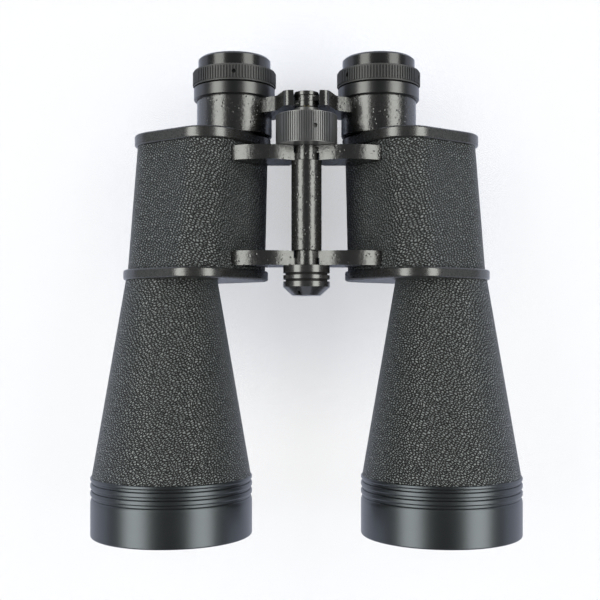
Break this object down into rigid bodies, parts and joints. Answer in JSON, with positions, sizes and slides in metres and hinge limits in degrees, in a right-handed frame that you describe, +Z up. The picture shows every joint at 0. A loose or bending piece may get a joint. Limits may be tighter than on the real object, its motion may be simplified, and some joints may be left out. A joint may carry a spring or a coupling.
{
  "type": "porro prism binoculars",
  "caption": "Porro prism binoculars with conical leatherette barrels, a half-lapped centre hinge, a focusing wheel and bridge, and a diopter ring.",
  "frame": {"origin": "on the table under the middle of the bounding box, the binoculars lying hinge side up", "axes": "+Y along the optical axes towards the eyepieces, +Z up, +X to the right half"},
  "size_m": [0.1904, 0.2112, 0.071],
  "materials": {
    "hammered_casting": "gloss hammered black paint",
    "leatherette": "pebbled black leatherette",
    "satin_black": "satin black paint",
    "anodised_black": "satin black anodised",
    "black_plastic": "satin black plastic",
    "gloss_black": "gloss black",
    "wheel_grey": "satin dark grey",
    "black_steel": "black oxide",
    "bright_steel": "bright",
    "brass": "turned",
    "coated_glass": "coated lens",
    "prism_glass": "polished"
  },
  "bodies": {
    "left_half": {"left_prism_housing": "hammered_casting", "left_housing_leatherette": "leatherette", "left_eyepiece_cover": "satin_black", "left_objective_cover": "satin_black", "left_cover_screws": "black_steel", "left_objective_tube": "satin_black", "left_tube_leatherette": "leatherette", "left_objective_ring": "anodised_black", "left_objective_cell": "anodised_black", "left_crown_lens": "coated_glass", "left_flint_lens": "coated_glass", "left_lens_retainer": "anodised_black", "left_prism_shelf": "satin_black", "left_rear_prism": "prism_glass", "left_front_prism": "prism_glass", "left_prism_clips": "bright_steel", "left_strap_lug": "black_steel", "left_guide_sleeve": "anodised_black", "hinge_tube": "hammered_casting", "hinge_axle": "bright_steel", "hinge_cap": "gloss_black"},
    "right_half": {"right_prism_housing": "hammered_casting", "right_housing_leatherette": "leatherette", "right_eyepiece_cover": "satin_black", "right_objective_cover": "satin_black", "right_cover_screws": "black_steel", "right_objective_tube": "satin_black", "right_tube_leatherette": "leatherette", "right_objective_ring": "anodised_black", "right_objective_cell": "anodised_black", "right_crown_lens": "coated_glass", "right_flint_lens": "coated_glass", "right_lens_retainer": "anodised_black", "right_prism_shelf": "satin_black", "right_rear_prism": "prism_glass", "right_front_prism": "prism_glass", "right_prism_clips": "bright_steel", "right_strap_lug": "black_steel", "right_guide_sleeve": "anodised_black"},
    "focus_wheel": {"focus_wheel": "wheel_grey", "wheel_screw": "black_steel"},
    "left_eyepiece": {"left_eyepiece_holder": "hammered_casting", "left_eyepiece_collar": "anodised_black", "left_ocular_barrel": "anodised_black", "left_field_lens": "coated_glass", "left_eye_lens": "coated_glass", "left_grip_ring": "anodised_black", "left_ring_screws": "black_steel", "left_eyecup": "black_plastic", "focus_spindle": "brass", "bridge_cap": "gloss_black"},
    "right_eyepiece": {"right_eyepiece_holder": "hammered_casting", "right_eyepiece_collar": "anodised_black"},
    "right_ocular": {"right_ocular_barrel": "anodised_black", "right_field_lens": "coated_glass", "right_eye_lens": "coated_glass"},
    "right_diopter": {"right_grip_ring": "anodised_black", "right_ring_screws": "black_steel", "right_eyecup": "black_plastic"}
  },
  "joints": [
    {"name": "pupil_hinge", "type": "hinge", "parent": "left_half", "child": "right_half", "pos_m": [0, 0, 0.0505], "axis": [0, 1, 0], "range_deg": [-37, 21]},
    {"name": "focus_turn", "type": "hinge", "parent": "left_half", "child": "focus_wheel", "pos_m": [0, 0.07, 0.0505], "axis": [0, 1, 0], "range_deg": [0, 360]},
    {"name": "left_focus", "type": "slide", "parent": "left_half", "child": "left_eyepiece", "axis": [0, 1, 0], "range_m": [0, 0.008]},
    {"name": "right_focus", "type": "slide", "parent": "right_half", "child": "right_eyepiece", "axis": [0, 1, 0], "range_m": [0, 0.008]},
    {"name": "diopter_turn", "type": "hinge", "parent": "right_ocular", "child": "right_diopter", "pos_m": [0.0323, 0.096, 0.0305], "axis": [0, 1, 0], "range_deg": [0, 180]},
    {"name": "diopter_lift", "type": "slide", "parent": "right_eyepiece", "child": "right_ocular", "axis": [0, 1, 0], "range_m": [0, 0.003]}
  ],
  "couplings": [
    {"joint": "focus_turn", "follows": "left_focus", "rad_per_m": 785.4},
    {"joint": "right_focus", "follows": "left_focus", "ratio": 1},
    {"joint": "diopter_lift", "follows": "diopter_turn", "m_per_rad": 0.00095493}
  ]
}
